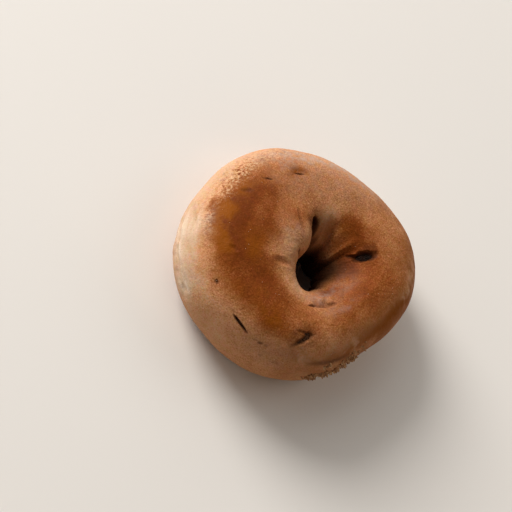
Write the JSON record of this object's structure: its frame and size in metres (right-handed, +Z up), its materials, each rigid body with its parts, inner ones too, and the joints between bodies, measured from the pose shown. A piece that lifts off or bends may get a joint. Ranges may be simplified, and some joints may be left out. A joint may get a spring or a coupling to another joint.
{
  "type": "blueberry bagel",
  "caption": "Baked blueberry bagel: a thick, slightly uneven dough ring on a flat base, its hole pinched to a narrow throat with a lip and folds, and baked blueberries sunk in the crust.",
  "frame": {"origin": "centre of the bounding box at the base, on the surface that the bagel rests on", "axes": "+Z up, through the hole and across the flat base; +Y along the longer diameter, away from the camera of the picture; +X along the shorter diameter"},
  "size_m": [0.1098, 0.1136, 0.0439],
  "materials": {
    "crust": "baked bread crust: satin amber-brown crown, paler floury sides, fine pores and wrinkles",
    "blueberry": "baked blueberry skin: near-black purple-brown, wrinkled and moist"
  },
  "bodies": {
    "root": {"dough": "crust", "berry_funnel": "blueberry", "berry_near": "blueberry", "berry_slit": "blueberry", "berry_far": "blueberry"}
  },
  "joints": []
}
